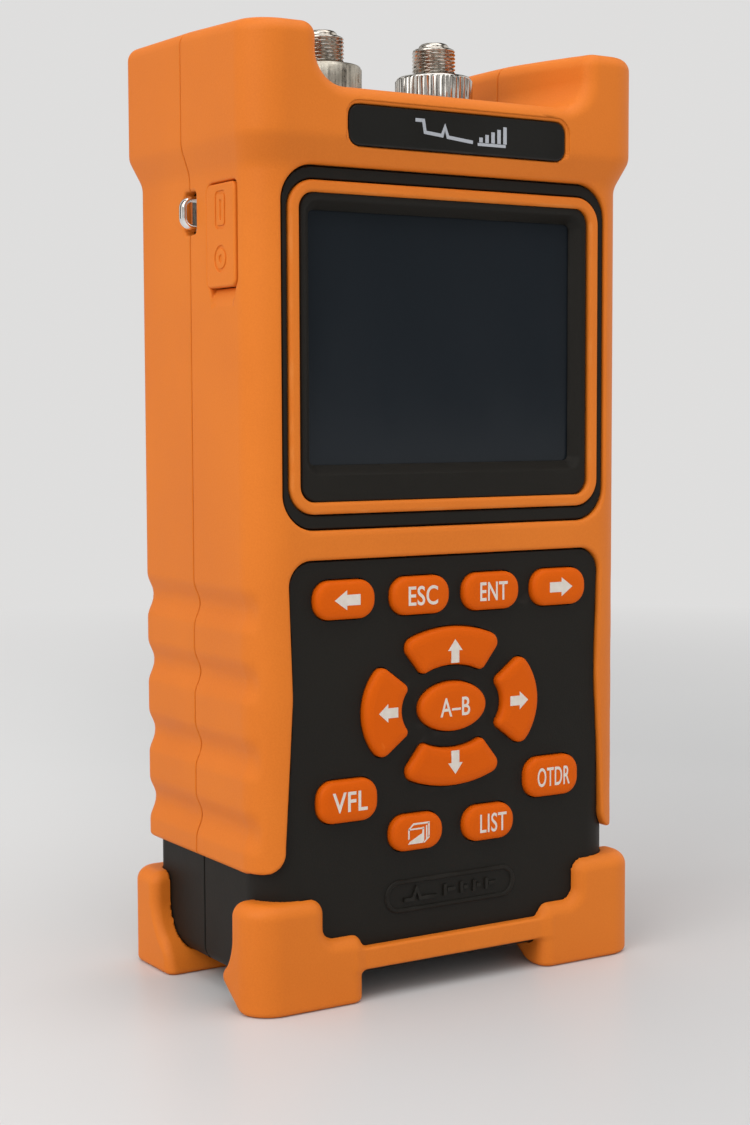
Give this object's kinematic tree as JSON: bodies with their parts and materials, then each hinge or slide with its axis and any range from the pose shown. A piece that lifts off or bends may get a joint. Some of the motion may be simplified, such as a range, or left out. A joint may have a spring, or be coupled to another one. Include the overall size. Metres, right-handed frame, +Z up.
{
  "type": "handheld optical time domain reflectometer",
  "caption": "Handheld optical time domain reflectometer: rubber-booted case with recessed display, keypad, fibre ports between guard horns, side socket flap and corner foot bumpers.",
  "frame": {"origin": "middle of the footprint, on the plane that the feet stand on", "axes": "+Z up from the feet to the fibre ports, +X to the right of a user who faces the display, +Y from the display to the back"},
  "size_m": [0.0968, 0.0584, 0.1997],
  "materials": {
    "orange_rubber": "soft matte, fine grain",
    "key_rubber": "satin, printed legends",
    "black_plastic": "fine moulded texture",
    "screen_glass": "dark, polished, faint anti-glare",
    "nickel_plate": "bright nickel plate",
    "circuit_board": "green solder mask",
    "bare_steel": "plain zinc-plated steel",
    "pale_plastic": "pale grey, matte",
    "zirconia": "white ceramic, polished",
    "cell_wrap": "blue shrink wrap"
  },
  "bodies": {
    "case": {"front_boot": "orange_rubber", "rear_boot": "orange_rubber", "front_foot_bumper": "orange_rubber", "rear_foot_bumper": "orange_rubber", "display_ring": "orange_rubber", "front_case": "black_plastic", "rear_case": "black_plastic", "display_bezel": "black_plastic", "port_panel": "black_plastic", "name_plate": "black_plastic", "battery_door": "black_plastic", "charge_jack": "black_plastic", "battery_contacts": "black_plastic", "buzzer": "black_plastic", "display_lens": "screen_glass", "otdr_port_receptacle": "nickel_plate", "vfl_port_receptacle": "nickel_plate", "strap_lug": "nickel_plate", "vfl_laser": "nickel_plate", "main_board": "circuit_board", "key_board": "circuit_board", "lcd_module": "bare_steel", "optical_module": "bare_steel", "usb_socket": "bare_steel", "case_screw_1": "bare_steel", "case_screw_2": "bare_steel", "case_screw_3": "bare_steel", "case_screw_4": "bare_steel", "door_screw_1": "bare_steel", "door_screw_2": "bare_steel", "otdr_port_lock_nut": "bare_steel", "vfl_port_lock_nut": "bare_steel", "keypad_mat": "pale_plastic", "rating_label": "pale_plastic", "battery_pack": "cell_wrap"},
    "key_left_cap": {"key_left": "key_rubber"},
    "key_escape_cap": {"key_escape": "key_rubber"},
    "key_enter_cap": {"key_enter": "key_rubber"},
    "key_right_cap": {"key_right": "key_rubber"},
    "key_cross_up_cap": {"key_cross_up": "key_rubber"},
    "key_cross_down_cap": {"key_cross_down": "key_rubber"},
    "key_cross_left_cap": {"key_cross_left": "key_rubber"},
    "key_cross_right_cap": {"key_cross_right": "key_rubber"},
    "key_cursor_cap": {"key_cursor": "key_rubber"},
    "key_vfl_cap": {"key_vfl": "key_rubber"},
    "key_otdr_cap": {"key_otdr": "key_rubber"},
    "key_file_cap": {"key_file": "key_rubber"},
    "key_list_cap": {"key_list": "key_rubber"},
    "flap": {"port_flap": "orange_rubber"},
    "otdr_adapter": {"otdr_port_adapter": "nickel_plate", "otdr_port_ferrule_sleeve": "zirconia"},
    "otdr_nut": {"otdr_port_nut": "nickel_plate"},
    "vfl_adapter": {"vfl_port_adapter": "nickel_plate", "vfl_port_ferrule_sleeve": "zirconia"},
    "vfl_nut": {"vfl_port_nut": "nickel_plate"}
  },
  "joints": [
    {"name": "key_left_press", "type": "slide", "parent": "case", "child": "key_left_cap", "axis": [0, 1, 0], "range_m": [0, 0.0008], "stiffness_N_per_m": 1500, "springref_m": -0.0002},
    {"name": "key_escape_press", "type": "slide", "parent": "case", "child": "key_escape_cap", "axis": [0, 1, 0], "range_m": [0, 0.0008], "stiffness_N_per_m": 1500, "springref_m": -0.0002},
    {"name": "key_enter_press", "type": "slide", "parent": "case", "child": "key_enter_cap", "axis": [0, 1, 0], "range_m": [0, 0.0008], "stiffness_N_per_m": 1500, "springref_m": -0.0002},
    {"name": "key_right_press", "type": "slide", "parent": "case", "child": "key_right_cap", "axis": [0, 1, 0], "range_m": [0, 0.0008], "stiffness_N_per_m": 1500, "springref_m": -0.0002},
    {"name": "key_cross_up_press", "type": "slide", "parent": "case", "child": "key_cross_up_cap", "axis": [0, 1, 0], "range_m": [0, 0.0008], "stiffness_N_per_m": 1500, "springref_m": -0.0002},
    {"name": "key_cross_down_press", "type": "slide", "parent": "case", "child": "key_cross_down_cap", "axis": [0, 1, 0], "range_m": [0, 0.0008], "stiffness_N_per_m": 1500, "springref_m": -0.0002},
    {"name": "key_cross_left_press", "type": "slide", "parent": "case", "child": "key_cross_left_cap", "axis": [0, 1, 0], "range_m": [0, 0.0008], "stiffness_N_per_m": 1500, "springref_m": -0.0002},
    {"name": "key_cross_right_press", "type": "slide", "parent": "case", "child": "key_cross_right_cap", "axis": [0, 1, 0], "range_m": [0, 0.0008], "stiffness_N_per_m": 1500, "springref_m": -0.0002},
    {"name": "key_cursor_press", "type": "slide", "parent": "case", "child": "key_cursor_cap", "axis": [0, 1, 0], "range_m": [0, 0.0008], "stiffness_N_per_m": 1500, "springref_m": -0.0002},
    {"name": "key_vfl_press", "type": "slide", "parent": "case", "child": "key_vfl_cap", "axis": [0, 1, 0], "range_m": [0, 0.0008], "stiffness_N_per_m": 1500, "springref_m": -0.0002},
    {"name": "key_otdr_press", "type": "slide", "parent": "case", "child": "key_otdr_cap", "axis": [0, 1, 0], "range_m": [0, 0.0008], "stiffness_N_per_m": 1500, "springref_m": -0.0002},
    {"name": "key_file_press", "type": "slide", "parent": "case", "child": "key_file_cap", "axis": [0, 1, 0], "range_m": [0, 0.0008], "stiffness_N_per_m": 1500, "springref_m": -0.0002},
    {"name": "key_list_press", "type": "slide", "parent": "case", "child": "key_list_cap", "axis": [0, 1, 0], "range_m": [0, 0.0008], "stiffness_N_per_m": 1500, "springref_m": -0.0002},
    {"name": "flap_hinge", "type": "hinge", "parent": "case", "child": "flap", "pos_m": [-0.0462, -0.0125, 0.1649], "axis": [0, 1, 0], "range_deg": [0, 110], "stiffness_Nm_per_rad": 0.0005, "springref_deg": -11.46},
    {"name": "otdr_adapter_lift", "type": "slide", "parent": "case", "child": "otdr_adapter", "axis": [0, 0, 1], "range_m": [0, 0.003]},
    {"name": "otdr_nut_turn", "type": "hinge", "parent": "otdr_adapter", "child": "otdr_nut", "pos_m": [-0.0142, 0.0019, 0.1872], "axis": [0, 0, 1], "range_deg": [0, 1080]},
    {"name": "vfl_adapter_lift", "type": "slide", "parent": "case", "child": "vfl_adapter", "axis": [0, 0, 1], "range_m": [0, 0.003]},
    {"name": "vfl_nut_turn", "type": "hinge", "parent": "vfl_adapter", "child": "vfl_nut", "pos_m": [0.0142, 0.0019, 0.1872], "axis": [0, 0, 1], "range_deg": [0, 1080]}
  ],
  "couplings": [
    {"joint": "otdr_nut_turn", "follows": "otdr_adapter_lift", "rad_per_m": 6283.2},
    {"joint": "vfl_nut_turn", "follows": "vfl_adapter_lift", "rad_per_m": 6283.2}
  ]
}
